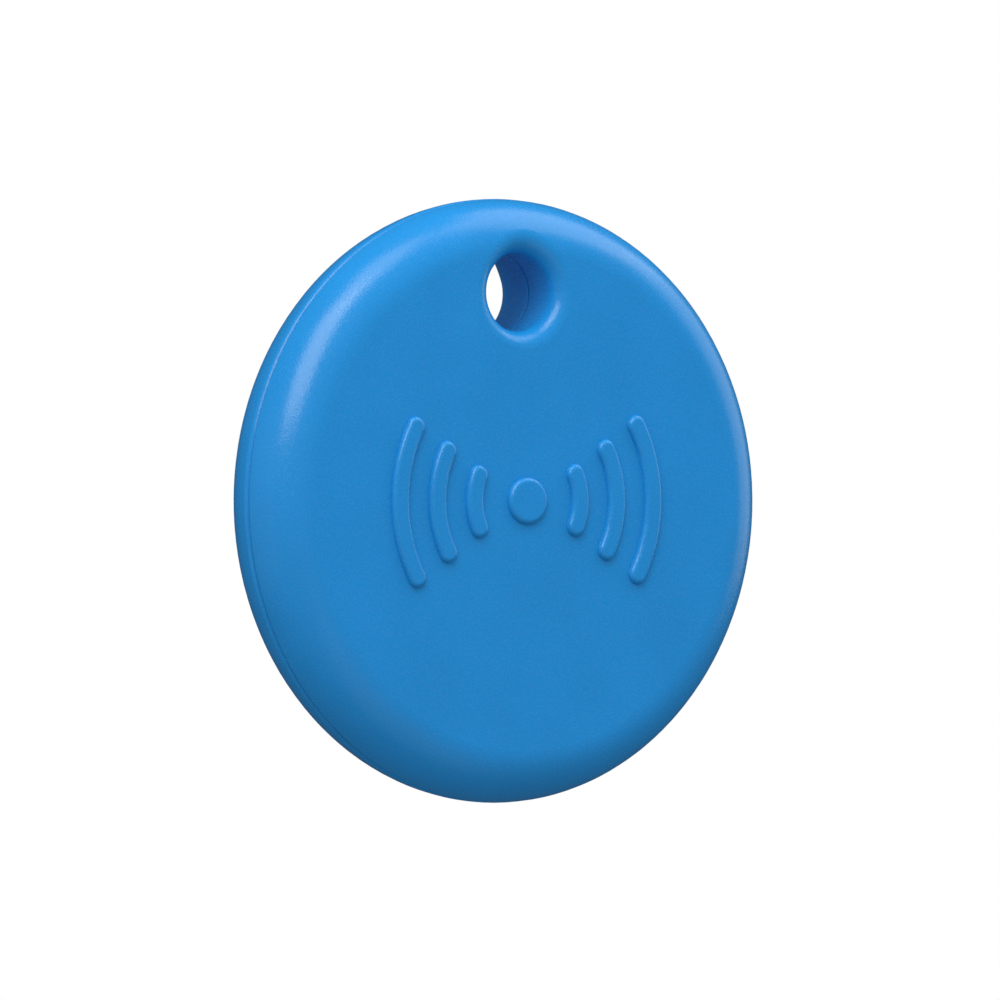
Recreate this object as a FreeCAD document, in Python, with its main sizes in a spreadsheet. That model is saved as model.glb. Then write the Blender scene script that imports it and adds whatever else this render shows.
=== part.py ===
# A round Bluetooth tracker tag with a key-ring hole, as a parametric assembly.
#
# Frame, in millimetres: the origin is the middle of the disc, +Y is the disc's axis and points to
# the rear, the front face looks along -Y, and +Z goes up to the key-ring hole.
#
# From front to rear: the front shell, which is also the button, carries a piezo sounder.
# A black mid frame holds the circuit board with its parts and the push switch.
# The rear shell holds the coin cell and half of the key tube.
import FreeCAD
import Part
import Sketcher
import math
import os
import re

doc = FreeCAD.newDocument("TrackerTag")

# ---------------------------------------------------------------- driving dimensions

DIMENSIONS = [
    # the outer shape
    ("disc_radius", 19.4),
    ("disc_half", 3.7),
    ("front_round", 3.38),
    ("rear_round", 4.03),
    ("seam_front", -0.84),
    ("seam_rear", -0.7),
    ("seam_edge_front", 0.06),
    ("seam_edge_rear", 0.36),
    # walls
    ("front_wall", 0.9),
    ("rear_wall", 0.8),
    ("rim_wall", 1.2),
    ("front_inner_round", 1.8),
    ("rear_inner_round", 2.8),
    # the key-ring hole and its tube
    ("hole_height", 13.36),
    ("hole_radius", 2.5),
    ("tube_wall", 1.05),
    ("collar_wall", 1.75),
    ("collar_front", 0.9),
    ("front_mouth", 1.1),
    ("rear_mouth", 1.7),
    ("tube_seam_front", -0.5),
    ("tube_seam_rear", -0.36),
    ("tube_edge", 0.05),
    # the raised radio-wave symbol on the front
    ("symbol_relief", 0.36),
    ("symbol_root", 0.2),
    ("symbol_stroke", 1.3),
    ("symbol_dot", 1.5),
    ("symbol_first_arc", 4.1),
    ("symbol_arc_step", 2.85),
    ("symbol_angle", 66),
    ("symbol_corner", 0.6),
    ("symbol_edge", 0.33),
    # the pry notch and the snap beads
    ("notch_depth", 0.7),
    ("notch_height", 0.8),
    ("notch_angle", 16),
    ("bead_height", 0.1),
    ("bead_width", 0.25),
    ("bead_angle", 12),
    ("bead_level_front", -1.08),
    ("bead_level_rear", 0.05),
    # the sounder and the coin cell share one axis
    ("stack_height", -1.8),
    ("rib_outer", 10.0),
    ("rib_inner", 8.9),
    ("rib_depth", 0.3),
    ("sounder_radius", 9.9),
    ("sounder_glue", 0.1),
    ("sounder_thick", 0.2),
    ("ceramic_radius", 7.0),
    ("ceramic_thick", 0.2),
    ("electrode_radius", 6.6),
    ("electrode_thick", 0.03),
    # the boss that presses the switch
    ("boss_height", -13.9),
    ("boss_radius", 1.4),
    ("boss_depth", 0.6),
    # the coin cell
    ("cell_front", -0.4),
    ("cell_rear", 2.8),
    ("cell_radius", 10.0),
    ("cell_steel", 0.25),
    ("cell_lip_radius", 8.95),
    ("cell_shoulder", 0.3),
    ("cell_round", 0.35),
    ("cap_radius", 8.7),
    ("cap_skirt", 1.9),
    ("pellet_radius", 7.8),
    ("anode_thick", 0.8),
    ("separator_radius", 8.1),
    ("separator_thick", 0.1),
    ("well_clear", 0.15),
    ("well_wall", 0.7),
    ("well_depth", 1.5),
    ("pad_radius", 7.5),
    # the mid frame and its seals
    ("frame_outer", 18.05),
    ("frame_inner", 17.2),
    ("frame_front", -1.2),
    ("frame_rear", 0.7),
    ("shelf_inner", 15.9),
    ("shelf_depth", 0.4),
    ("snap_groove_depth", 0.1),
    ("snap_groove_half", 0.2),
    ("gasket_front", 0.3),
    ("gasket_rear", 0.6),
    ("gasket_inner", 17.75),
    ("gasket_outer", 18.05),
    ("sleeve_clear", 0.05),
    ("sleeve_wall", 0.3),
    ("sleeve_front", -1.6),
    ("sleeve_rear", 0.3),
    # the circuit board
    ("board_front", -1.2),
    ("board_thick", 0.6),
    ("board_radius", 16.9),
    ("pin_mark_radius", 0.3),
    ("pin_mark_depth", 0.05),
    ("pin_mark_inset", 0.75),
    ("part_edge", 0.06),
    ("terminal_length", 0.3),
    ("terminal_skin", 0.03),
    ("pad_disc_radius", 0.6),
    ("pad_disc_thick", 0.04),
    # the switch
    ("switch_width", 3.4),
    ("switch_length", 3.0),
    ("switch_height", 0.6),
    ("switch_floor", 0.15),
    ("switch_bore", 0.95),
    ("dome_thick", 0.05),
    ("cover_thick", 0.05),
    ("cover_hole", 0.75),
    ("plunger_radius", 0.65),
    ("plunger_flange", 0.85),
    ("flange_thick", 0.1),
    ("flange_clear", 0.02),
    ("plunger_top", -2.15),
    # the cell contacts and the sounder's springs
    ("contact_thick", 0.1),
    ("contact_clear", 0.05),
    ("contact_bump", 0.07),
    ("contact_bump_radius", 0.9),
    ("contact_foot", 2.2),
    ("contact_width", 4.0),
    ("contact_bend", 0.25),
    ("contact_reach", 1.2),
    ("spring_radius", 0.7),
    ("spring_gap", 0.02),
    ("spring_offset", 8.2),
]

# Each part on the board: middle x, middle z, width along X, length along Z, height off the board.
BOARD_PARTS = {
    "bluetooth_chip": (-13.2, -1.6, 5.0, 5.0, 0.85),
    "sounder_driver": (12.8, -5.4, 3.0, 3.0, 0.75),
    "motion_sensor": (12.9, -0.6, 2.0, 2.0, 0.9),
    "boost_inductor": (10.2, -10.6, 3.0, 3.0, 1.2),
    "bulk_capacitor": (13.3, 3.4, 1.6, 3.2, 1.1),
    "chip_antenna": (-9.6, 11.2, 3.2, 1.6, 1.0),
    "main_crystal": (-13.2, 3.6, 2.5, 2.0, 0.55),
    "clock_crystal": (-12.0, -6.4, 2.0, 1.2, 0.5),
}

# Small parts in rows: first x, first z, step along X, step along Z, how many.
CAPACITOR_ROWS = [
    (-9.9, -9.4, 1.3, -0.95, 4),
    (9.6, 8.6, 1.5, -1.0, 3),
]
RESISTOR_ROWS = [
    (-14.6, 6.6, 1.4, 0.6, 3),
    (4.0, -14.6, 1.5, 0.7, 3),
]
TEST_PADS = [
    (-6.6, -13.2),
    (-4.4, -14.1),
    (-2.2, -14.6),
    (0.0, -14.8),
]

SMALL_PART_DIMENSIONS = [
    ("capacitor_width", 0.8),
    ("capacitor_length", 1.6),
    ("capacitor_height", 0.7),
    ("resistor_width", 0.5),
    ("resistor_length", 1.0),
    ("resistor_height", 0.35),
]

sheet = doc.addObject("Spreadsheet::Sheet", "Dimensions")
aliases = []


def add_dimension(alias, number):
    row = len(aliases) + 1
    sheet.set("A%d" % row, alias)
    sheet.set("B%d" % row, str(number))
    sheet.setAlias("B%d" % row, alias)
    aliases.append(alias)


for alias, number in DIMENSIONS + SMALL_PART_DIMENSIONS:
    add_dimension(alias, number)
for node, numbers in BOARD_PARTS.items():
    for word, number in zip(("x", "z", "width", "length", "height"), numbers):
        add_dimension("%s_%s" % (node, word), number)
doc.recompute()


def linked(expression):
    """The expression with each alias written as a cell of the sheet."""
    def cell(match):
        word = match.group(0)
        return "Dimensions." + word if word in aliases else word
    return re.sub(r"[a-z][a-z_]*", cell, expression)


def value(expression):
    """What an expression of aliases comes to now."""
    return float(sheet.evalExpression(expression))


def bind(thing, **expressions):
    """Tie properties of an object to the sheet; Base_x stands for Placement.Base.x."""
    for name, expression in expressions.items():
        path = "Placement." + name.replace("_", ".") if name.startswith("Base_") else name
        thing.setExpression(path, linked(expression))


# ---------------------------------------------------------------- sketches and features

def new_body(label):
    body = doc.addObject("PartDesign::Body", label)
    body.Label = label
    return body


def origin_plane(body, role):
    for feature in body.Origin.OriginFeatures:
        if feature.Role == role:
            return feature
    raise ValueError(role)


def attach(sketch, body, role):
    sketch.AttachmentSupport = (origin_plane(body, role), "")
    sketch.MapMode = "FlatFace"


def side_sketch(body, name, turn=0):
    """A sketch in the XY plane, turned about Y: its x is a radius and its y is Y."""
    sketch = body.newObject("Sketcher::SketchObject", name)
    attach(sketch, body, "XY_Plane")
    sketch.AttachmentOffset = FreeCAD.Placement(
        FreeCAD.Vector(0, 0, 0), FreeCAD.Rotation(FreeCAD.Vector(0, 1, 0), turn))
    return sketch


def face_sketch(body, name, level):
    """A sketch across the disc's axis at Y = level: its x is X and its y is Z."""
    sketch = body.newObject("Sketcher::SketchObject", name)
    attach(sketch, body, "XZ_Plane")
    sketch.setExpression("AttachmentOffset.Base.z", linked("-(%s)" % level))
    return sketch


def pin_point(sketch, geometry, point, x, y):
    """Fix a point's coordinates to expressions; None leaves one free."""
    for kind, axis, expression in (("DistanceX", -2, x), ("DistanceY", -1, y)):
        if expression is None:
            continue
        if expression == "0":
            sketch.addConstraint(Sketcher.Constraint("PointOnObject", geometry, point, axis))
            continue
        number = sketch.addConstraint(
            Sketcher.Constraint(kind, -1, 1, geometry, point, value(expression)))
        sketch.setExpression("Constraints[%d]" % number, linked(expression))


def sweep(start, end, centre, hand):
    """The angle an arc turns through, from 0 up to a full turn."""
    angles = [math.atan2(p[1] - centre[1], p[0] - centre[0]) for p in (start, end)]
    turn = angles[1] - angles[0] if hand == "left" else angles[0] - angles[1]
    return (turn - 1e-6) % (2 * math.pi)


def arc_end(start, x, y, centre, hand):
    """An arc's end, whose missing coordinate follows from its radius."""
    radius = math.dist(start, centre)
    known = y - centre[1] if x is None else x - centre[0]
    reach = math.sqrt(max(0, radius ** 2 - known ** 2))
    if x is None:
        choices = [(centre[0] + reach, y), (centre[0] - reach, y)]
    else:
        choices = [(x, centre[1] + reach), (x, centre[1] - reach)]
    return min(choices, key=lambda end: sweep(start, end, centre, hand))


def draw_outline(sketch, steps):
    """Draw a closed outline. Each step goes to a point (x, y), straight, or by an arc about
    a centre when it has one: (x, y, centre_x, centre_y, "left" or "right" turn). An arc's
    end leaves one coordinate as None, because the radius settles it."""
    places = []
    for step in steps:
        x, y = [None if word is None else value(word) for word in step[:2]]
        if len(step) > 2:
            x, y = arc_end(places[-1], x, y, (value(step[2]), value(step[3])), step[4])
        places.append((x, y))
    ends = []
    for index, step in enumerate(steps):
        start = places[index - 1]
        end = places[index]
        if len(step) == 2:
            shape = Part.LineSegment(FreeCAD.Vector(*start, 0), FreeCAD.Vector(*end, 0))
            ends.append((1, 2))
        else:
            centre = (value(step[2]), value(step[3]))
            angles = [math.atan2(p[1] - centre[1], p[0] - centre[0]) for p in (start, end)]
            ends.append((1, 2))
            if step[4] == "right":
                angles.reverse()
                ends[-1] = (2, 1)
            circle = Part.Circle(
                FreeCAD.Vector(*centre, 0), FreeCAD.Vector(0, 0, 1), math.dist(start, centre))
            shape = Part.ArcOfCircle(circle, angles[0], angles[1])
        sketch.addGeometry(shape, False)
    for index, step in enumerate(steps):
        following = (index + 1) % len(steps)
        sketch.addConstraint(Sketcher.Constraint(
            "Coincident", index, ends[index][1], following, ends[following][0]))
        pin_point(sketch, index, ends[index][1], step[0], step[1])
        if len(step) > 2:
            pin_point(sketch, index, 3, step[2], step[3])


def draw_box(sketch, left, right, low, high):
    draw_outline(sketch, [(left, low), (right, low), (right, high), (left, high)])


def draw_circle(sketch, x, y, radius):
    centre = FreeCAD.Vector(value(x), value(y), 0)
    geometry = sketch.addGeometry(
        Part.Circle(centre, FreeCAD.Vector(0, 0, 1), value(radius)), False)
    number = sketch.addConstraint(Sketcher.Constraint("Radius", geometry, value(radius)))
    sketch.setExpression("Constraints[%d]" % number, linked(radius))
    pin_point(sketch, geometry, 3, x, y)


def turned(body, sketch, kind="PartDesign::Revolution", angle=None):
    """Turn a side sketch about the disc's axis, all round or by an angle across its plane."""
    feature = body.newObject(kind, sketch.Name + "_turn")
    feature.Profile = sketch
    feature.ReferenceAxis = (sketch, ["V_Axis"])
    if angle is None:
        feature.Angle = 360
    else:
        feature.Midplane = True
        bind(feature, Angle=angle)
    sketch.Visibility = False
    return feature


def added(body, sketch, depth):
    """Material from the sketch's level towards the rear."""
    feature = body.newObject("PartDesign::Pad", sketch.Name + "_pad")
    feature.Profile = sketch
    feature.Reversed = True
    bind(feature, Length=depth)
    return feature


def removed(body, sketch, depth):
    """A cut from the sketch's level towards the rear, checked to take something away."""
    before = body.Tip.Shape.Volume
    feature = body.newObject("PartDesign::Pocket", sketch.Name + "_cut")
    feature.Profile = sketch
    bind(feature, Length=depth)
    doc.recompute()
    if feature.Shape.Volume >= before:
        raise ValueError("%s cuts nothing" % feature.Name)
    return feature


def rounded(body, name, radius, chosen):
    """Round the edges of the body's tip that the test picks."""
    doc.recompute()
    base = body.Tip
    names = ["Edge%d" % (i + 1) for i, edge in enumerate(base.Shape.Edges) if chosen(edge)]
    if not names:
        raise ValueError("%s has no edges" % name)
    feature = body.newObject("PartDesign::Fillet", name)
    feature.Base = (base, names)
    bind(feature, Radius=radius)
    doc.recompute()
    return feature


def repeated(body, name, features, count):
    """Copies of features, evenly spaced about the disc's axis."""
    pattern = body.newObject("PartDesign::PolarPattern", name)
    pattern.Originals = features
    pattern.Axis = (origin_plane(body, "Y_Axis"), [""])
    pattern.Angle = 360
    pattern.Occurrences = count
    body.Tip = pattern
    doc.recompute()
    return pattern


def mirrored(body, name, features):
    """Copies of features on the other side of the YZ plane."""
    mirror = body.newObject("PartDesign::Mirrored", name)
    mirror.Originals = features
    mirror.MirrorPlane = (origin_plane(body, "YZ_Plane"), [""])
    body.Tip = mirror
    doc.recompute()
    return mirror


def close(first, second):
    return abs(first - second) < 1e-4


def at_level(edge, level):
    """Whether the whole edge lies across the axis at Y = level."""
    box = edge.BoundBox
    return close(box.YMin, value(level)) and close(box.YMax, value(level))


def near_hole(edge):
    """Whether the edge keeps to the key-ring hole's wall."""
    box = edge.BoundBox
    reach = value("hole_radius") + 1e-3
    middle = value("hole_height")
    return (box.XMin > -reach and box.XMax < reach
            and box.ZMin > middle - reach and box.ZMax < middle + reach)


# ---------------------------------------------------------------- shells

def front_shell():
    body = new_body("front_shell")
    profile = side_sketch(body, "front_profile")
    draw_outline(profile, [
        ("0", "-disc_half + front_wall"),
        ("0", "-disc_half"),
        ("disc_radius - front_round", "-disc_half"),
        (None, "seam_front", "disc_radius - front_round", "-disc_half + front_round", "left"),
        ("disc_radius - rim_wall", "seam_front"),
        ("disc_radius - rim_wall", "-disc_half + front_wall + front_inner_round"),
        ("disc_radius - rim_wall - front_inner_round", None,
         "disc_radius - rim_wall - front_inner_round",
         "-disc_half + front_wall + front_inner_round", "right"),
    ])
    turned(body, profile)
    add_front_features(body)
    add_symbol(body)
    return body


def add_front_features(body):
    """The key tube's front half, the sounder's ring rib, the switch boss and the snap beads."""
    tube = face_sketch(body, "front_tube", "-disc_half + front_wall / 2")
    draw_circle(tube, "0", "hole_height", "hole_radius + tube_wall")
    added(body, tube, "tube_seam_front + disc_half - front_wall / 2")
    rib = face_sketch(body, "sounder_rib", "-disc_half + front_wall / 2")
    draw_circle(rib, "0", "stack_height", "rib_outer")
    draw_circle(rib, "0", "stack_height", "rib_inner")
    added(body, rib, "front_wall / 2 + rib_depth")
    boss = face_sketch(body, "switch_boss", "-disc_half + front_wall / 2")
    draw_circle(boss, "0", "boss_height", "boss_radius")
    added(body, boss, "front_wall / 2 + boss_depth")
    add_beads(body, "front_bead", "bead_level_front")
    hole = face_sketch(body, "front_hole", "-disc_half - 1")
    draw_circle(hole, "0", "hole_height", "hole_radius")
    removed(body, hole, "tube_seam_front + disc_half + 2")
    rounded(body, "front_mouth_round", "front_mouth",
            lambda edge: near_hole(edge) and at_level(edge, "-disc_half"))
    rounded(body, "front_seam_round", "seam_edge_front",
            lambda edge: at_level(edge, "seam_front")
            and edge.BoundBox.XMax > value("disc_radius - rim_wall / 2"))
    rounded(body, "front_tube_round", "tube_edge",
            lambda edge: near_hole(edge) and at_level(edge, "tube_seam_front"))


def add_beads(body, name, level):
    """Four low beads inside the rim, which the mid frame snaps past."""
    bead = side_sketch(body, name, 45)
    draw_box(bead, "disc_radius - rim_wall - bead_height", "disc_radius - rim_wall + 0.3",
             "%s - bead_width / 2" % level, "%s + bead_width / 2" % level)
    turn = turned(body, bead, angle="bead_angle")
    doc.recompute()
    repeated(body, name + "s", [turn], 4)


def add_symbol(body):
    """A dot with three arcs on each side, moulded in low relief."""
    dot = face_sketch(body, "symbol_dot_outline", "-disc_half - symbol_relief")
    draw_circle(dot, "0", "0", "symbol_dot")
    added(body, dot, "symbol_relief + symbol_root")
    arcs = []
    for index in range(3):
        middle = "symbol_first_arc + %d * symbol_arc_step" % index
        stroke = side_sketch(body, "symbol_arc_%d" % (index + 1))
        draw_box(stroke, middle + " - symbol_stroke / 2", middle + " + symbol_stroke / 2",
                 "-disc_half - symbol_relief", "-disc_half + symbol_root")
        arcs.append(turned(body, stroke, angle="symbol_angle"))
        doc.recompute()
    mirrored(body, "symbol_mirror", arcs)
    face = value("-disc_half")
    top = value("-disc_half - symbol_relief")

    def upright(edge):
        return close(edge.BoundBox.YMin, top) and close(edge.BoundBox.YMax, face)

    rounded(body, "symbol_corner_round", "symbol_corner", upright)
    rounded(body, "symbol_edge_round", "symbol_edge",
            lambda edge: at_level(edge, "-disc_half - symbol_relief"))


def rear_shell():
    body = new_body("rear_shell")
    profile = side_sketch(body, "rear_profile")
    draw_outline(profile, [
        ("0", "disc_half - rear_wall"),
        ("disc_radius - rim_wall - rear_inner_round", "disc_half - rear_wall"),
        (None, "disc_half - rear_wall - rear_inner_round",
         "disc_radius - rim_wall - rear_inner_round",
         "disc_half - rear_wall - rear_inner_round", "right"),
        ("disc_radius - rim_wall", "seam_rear"),
        ("disc_radius", "seam_rear"),
        ("disc_radius", "disc_half - rear_round"),
        ("disc_radius - rear_round", None, "disc_radius - rear_round",
         "disc_half - rear_round", "left"),
        ("0", "disc_half"),
    ])
    turned(body, profile)
    tube = face_sketch(body, "rear_tube", "tube_seam_rear")
    draw_circle(tube, "0", "hole_height", "hole_radius + tube_wall")
    added(body, tube, "disc_half - rear_wall / 2 - tube_seam_rear")
    # a thicker foot to the tube, which backs the wide rounding of the hole's rear mouth
    collar = face_sketch(body, "tube_collar", "collar_front")
    draw_circle(collar, "0", "hole_height", "hole_radius + collar_wall")
    added(body, collar, "disc_half - rear_wall - collar_front")
    well = face_sketch(body, "cell_well", "disc_half - rear_wall - well_depth")
    draw_circle(well, "0", "stack_height", "cell_radius + well_clear")
    draw_circle(well, "0", "stack_height", "cell_radius + well_clear + well_wall")
    added(body, well, "well_depth + rear_wall / 2")
    add_beads(body, "rear_bead", "bead_level_rear")
    hole = face_sketch(body, "rear_hole", "tube_seam_rear - 1")
    draw_circle(hole, "0", "hole_height", "hole_radius")
    removed(body, hole, "disc_half - tube_seam_rear + 2")
    rounded(body, "rear_mouth_round", "rear_mouth",
            lambda edge: near_hole(edge) and edge.BoundBox.YMin > value("disc_half - 1"))
    rounded(body, "rear_seam_round", "seam_edge_rear",
            lambda edge: at_level(edge, "seam_rear")
            and edge.BoundBox.XMax > value("disc_radius - rim_wall / 2"))
    rounded(body, "rear_tube_round", "tube_edge",
            lambda edge: near_hole(edge) and at_level(edge, "tube_seam_rear"))
    add_notch(body)
    return body


def add_notch(body):
    """A shallow notch at the seam, low on the right, for a coin or a fingernail."""
    before = body.Tip.Shape.Volume
    notch = side_sketch(body, "pry_notch", 45)
    draw_box(notch, "disc_radius - notch_depth", "disc_radius + 1",
             "seam_rear - 1", "seam_rear + notch_height")
    cut = turned(body, notch, "PartDesign::Groove", "notch_angle")
    doc.recompute()
    if cut.Shape.Volume >= before:
        raise ValueError("the pry notch cuts nothing")


# ---------------------------------------------------------------- plain discs and rings

def disc(label, radius, front, thick, x="0", z="stack_height"):
    """A cylinder along the disc's axis, from Y = front towards the rear."""
    cylinder = doc.addObject("Part::Cylinder", label)
    cylinder.Label = label
    cylinder.Placement.Rotation = FreeCAD.Rotation(FreeCAD.Vector(1, 0, 0), -90)
    bind(cylinder, Radius=radius, Height=thick, Base_x=x, Base_y=front, Base_z=z)
    return cylinder


def ring(label, inner, outer, front, thick, z="stack_height"):
    body = new_body(label)
    sketch = face_sketch(body, label + "_outline", front)
    draw_circle(sketch, "0", z, outer)
    draw_circle(sketch, "0", z, inner)
    added(body, sketch, thick)
    return body


def sounder():
    glue = "-disc_half + front_wall + rib_depth"
    plate = glue + " + sounder_glue"
    ceramic = plate + " + sounder_thick"
    electrode = ceramic + " + ceramic_thick"
    return [
        ring("sounder_adhesive", "rib_inner", "sounder_radius", glue, "sounder_glue"),
        disc("sounder_plate", "sounder_radius", plate, "sounder_thick"),
        disc("sounder_ceramic", "ceramic_radius", ceramic, "ceramic_thick"),
        disc("sounder_electrode", "electrode_radius", electrode, "electrode_thick"),
    ]


# ---------------------------------------------------------------- coin cell

def turned_body(label, steps):
    """A body turned about the cell's own axis from an outline of radius and Y."""
    body = new_body(label)
    profile = side_sketch(body, label + "_profile")
    draw_outline(profile, steps)
    turned(body, profile)
    bind(body, Base_z="stack_height")
    return body


def cell_can():
    floor = "cell_rear - cell_steel"
    lip = "cell_front + cell_shoulder"
    inside = "cell_radius - cell_steel"
    body = turned_body("cell_can", [
        ("0", floor), (inside, floor), (inside, lip + " + cell_steel"),
        ("cell_lip_radius", lip + " + cell_steel"), ("cell_lip_radius", lip),
        ("cell_radius", lip), ("cell_radius", "cell_rear"), ("0", "cell_rear"),
    ])
    rounded(body, "cell_can_round", "cell_round",
            lambda edge: close(edge.BoundBox.XMax, value("cell_radius"))
            and (at_level(edge, "cell_rear") or at_level(edge, lip)))
    return body


def cell_cap():
    under = "cell_front + cell_steel"
    body = turned_body("cell_cap", [
        ("0", under), ("0", "cell_front"), ("cap_radius", "cell_front"),
        ("cap_radius", "cap_skirt"), ("cap_radius - cell_steel", "cap_skirt"),
        ("cap_radius - cell_steel", under),
    ])
    rounded(body, "cell_cap_round", "cell_steel",
            lambda edge: close(edge.BoundBox.XMax, value("cap_radius"))
            and at_level(edge, "cell_front"))
    return body


def cell_gasket():
    lip = "cell_front + cell_shoulder"
    wall = "cell_radius - cell_steel"
    floor = "cell_rear - cell_steel"
    return turned_body("cell_gasket", [
        ("cap_radius", lip), ("cell_lip_radius", lip),
        ("cell_lip_radius", lip + " + cell_steel"), (wall, lip + " + cell_steel"),
        (wall, floor), ("separator_radius", floor), ("separator_radius", "cap_skirt"),
        ("cap_radius", "cap_skirt"),
    ])


def coin_cell():
    anode = "cell_front + cell_steel"
    separator = anode + " + anode_thick"
    cathode = separator + " + separator_thick"
    return [
        cell_can(),
        cell_cap(),
        cell_gasket(),
        disc("cell_anode", "pellet_radius", anode, "anode_thick"),
        disc("cell_separator", "separator_radius", separator, "separator_thick"),
        disc("cell_cathode", "pellet_radius", cathode,
             "cell_rear - cell_steel - (%s)" % cathode),
    ]


# ---------------------------------------------------------------- mid frame and seals

def mid_frame():
    """A black ring that bridges the seam, with a shelf inside for the board."""
    shelf = "board_front + board_thick"
    groove = "frame_outer - snap_groove_depth"
    body = new_body("mid_frame")
    profile = side_sketch(body, "mid_frame_profile")
    draw_outline(profile, [
        ("frame_inner", "frame_front"),
        ("frame_outer", "frame_front"),
        ("frame_outer", "bead_level_rear - snap_groove_half"),
        (groove, "bead_level_rear - snap_groove_half"),
        (groove, "bead_level_rear + snap_groove_half"),
        ("frame_outer", "bead_level_rear + snap_groove_half"),
        ("frame_outer", "gasket_front"),
        ("gasket_inner", "gasket_front"),
        ("gasket_inner", "gasket_rear"),
        ("frame_outer", "gasket_rear"),
        ("frame_outer", "frame_rear"),
        ("frame_inner", "frame_rear"),
        ("frame_inner", shelf + " + shelf_depth"),
        ("shelf_inner", shelf + " + shelf_depth"),
        ("shelf_inner", shelf),
        ("frame_inner", shelf),
    ])
    turned(body, profile)
    doc.recompute()
    notch = face_sketch(body, "mid_frame_notch", "frame_front - 1")
    draw_circle(notch, "0", "hole_height",
                "hole_radius + tube_wall + sleeve_clear + sleeve_wall")
    removed(body, notch, "frame_rear - frame_front + 2")
    return body


def seals():
    gasket = ring("perimeter_gasket", "gasket_inner", "gasket_outer", "gasket_front",
                  "gasket_rear - gasket_front", "0")
    bore = "hole_radius + tube_wall + sleeve_clear"
    sleeve = ring("key_tube_gasket", bore, bore + " + sleeve_wall", "sleeve_front",
                  "sleeve_rear - sleeve_front", "hole_height")
    pad = disc("cell_pad", "pad_radius", "cell_rear", "disc_half - rear_wall - cell_rear")
    return [gasket, sleeve, pad]


# ---------------------------------------------------------------- circuit board

def circuit_board():
    """A round board with a slot that lets the key tube through."""
    body = new_body("circuit_board")
    outline = face_sketch(body, "board_outline", "board_front")
    draw_circle(outline, "0", "0", "board_radius")
    added(body, outline, "board_thick")
    doc.recompute()
    half = "hole_radius + tube_wall + sleeve_clear + sleeve_wall"
    slot = face_sketch(body, "board_slot", "board_front - 1")
    draw_outline(slot, [
        ("-(%s)" % half, "board_radius + 1"),
        ("-(%s)" % half, "hole_height"),
        (None, "hole_height", "0", "hole_height", "left"),
        (half, "board_radius + 1"),
    ])
    removed(body, slot, "board_thick + 2")
    return body


def chip(node):
    """A package on the front of the board, with a dimple that marks its first pin."""
    body = new_body(node)
    top = "board_front - %s_height" % node
    left, right = ["%s_x %s %s_width / 2" % (node, sign, node) for sign in "-+"]
    low, high = ["%s_z %s %s_length / 2" % (node, sign, node) for sign in "-+"]
    outline = face_sketch(body, node + "_outline", top)
    draw_box(outline, left, right, low, high)
    added(body, outline, "%s_height" % node)
    doc.recompute()
    if node in ("bluetooth_chip", "sounder_driver"):
        mark = face_sketch(body, node + "_mark", top)
        draw_circle(mark, left + " + pin_mark_inset", high + " - pin_mark_inset",
                    "pin_mark_radius")
        removed(body, mark, "pin_mark_depth")
    level = value(top)
    rounded(body, node + "_round", "part_edge",
            lambda edge: close(edge.BoundBox.YMin, level) and close(edge.BoundBox.YMax, level)
            and edge.Curve.TypeId == "Part::GeomLine")
    return body


def row_places(rows):
    for x, z, step_x, step_z, count in rows:
        for index in range(count):
            yield x + index * step_x, z + index * step_z


def small_parts(label, word, rows):
    """Identical blocks in rows, their long side along Z."""
    boxes = []
    for index, (x, z) in enumerate(row_places(rows)):
        box = doc.addObject("Part::Box", "%s_%d" % (word, index + 1))
        bind(box, Length=word + "_width", Width=word + "_height",
             Height=word + "_length - 2 * terminal_length",
             Base_x="%.3f - %s_width / 2" % (x, word),
             Base_y="board_front - %s_height" % word,
             Base_z="%.3f - %s_length / 2 + terminal_length" % (z, word))
        boxes.append(box)
    return group(label, boxes)


def end_boxes(name, x, z, width, length, height):
    """A metal end on each of the two short sides of a block."""
    ends = []
    for side, shift in enumerate(("0", "(%s) - terminal_length" % length)):
        box = doc.addObject("Part::Box", "%s_end_%d" % (name, side + 1))
        bind(box, Length="%s + 2 * terminal_skin" % width,
             Width="%s + terminal_skin" % height, Height="terminal_length",
             Base_x="%s - (%s) / 2 - terminal_skin" % (x, width),
             Base_y="board_front - %s - terminal_skin" % height,
             Base_z="%s - (%s) / 2 + %s" % (z, length, shift))
        ends.append(box)
    return ends


def terminals():
    """The metal ends of every small capacitor and resistor."""
    ends = []
    for word, rows in (("capacitor", CAPACITOR_ROWS), ("resistor", RESISTOR_ROWS)):
        for index, (x, z) in enumerate(row_places(rows)):
            ends += end_boxes("%s_%d" % (word, index + 1), "%.3f" % x, "%.3f" % z,
                              word + "_width", word + "_length", word + "_height")
    return group("part_terminals", ends)


def test_pads():
    rear = "board_front + board_thick"
    discs = []
    for index, (x, z) in enumerate(TEST_PADS):
        discs.append(disc("test_pad_%d" % (index + 1), "pad_disc_radius", rear,
                          "pad_disc_thick", "%.3f" % x, "%.3f" % z))
    return group("test_pads", discs)


def group(label, members):
    compound = doc.addObject("Part::Compound", label)
    compound.Label = label
    compound.Links = members
    return compound


# ---------------------------------------------------------------- switch, contacts, springs

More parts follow.
